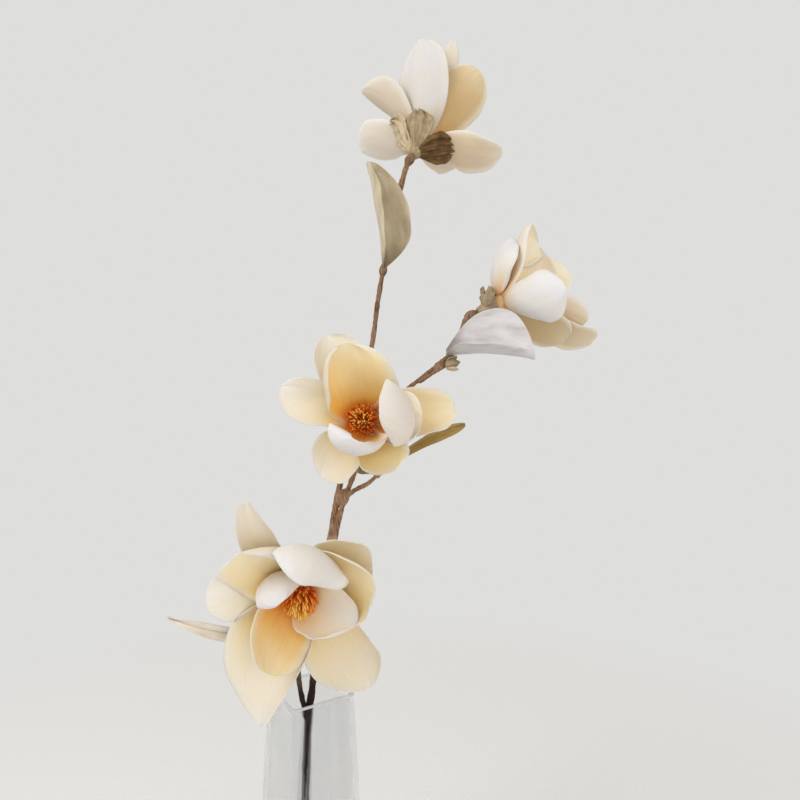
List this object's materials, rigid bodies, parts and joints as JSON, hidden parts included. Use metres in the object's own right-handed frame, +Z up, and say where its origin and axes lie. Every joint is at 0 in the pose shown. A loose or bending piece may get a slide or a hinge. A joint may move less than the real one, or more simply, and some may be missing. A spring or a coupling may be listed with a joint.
{
  "type": "magnolia branch in a glass vase",
  "caption": "Woody flowering branch with open cream magnolia blooms, orange stamens, folded leaves and a side bud, leaning in a tall clear square vase that tapers upward.",
  "frame": {"origin": "middle of the vase's underside", "axes": "+Z up the vase, -Y towards the side that the picture shows, +X to the right of the picture"},
  "size_m": [0.3508, 0.2149, 0.8109],
  "materials": {
    "glass": "gloss",
    "wood": "matte",
    "petal": "satin",
    "calyx": "matte",
    "stamen": "matte",
    "leaf": "matte"
  },
  "bodies": {
    "root": {"vase": "glass", "branch_wood": "wood", "top_bloom_petals": "petal", "top_bloom_calyx": "calyx", "top_bloom_stamens": "stamen", "right_bloom_petals": "petal", "right_bloom_calyx": "calyx", "right_bloom_stamens": "stamen", "middle_bloom_petals": "petal", "middle_bloom_calyx": "calyx", "middle_bloom_stamens": "stamen", "lower_bloom_petals": "petal", "lower_bloom_calyx": "calyx", "lower_bloom_stamens": "stamen", "top_leaf": "leaf", "right_leaf": "leaf", "middle_leaf": "leaf", "lower_leaf": "leaf", "side_bud": "calyx"}
  },
  "joints": []
}
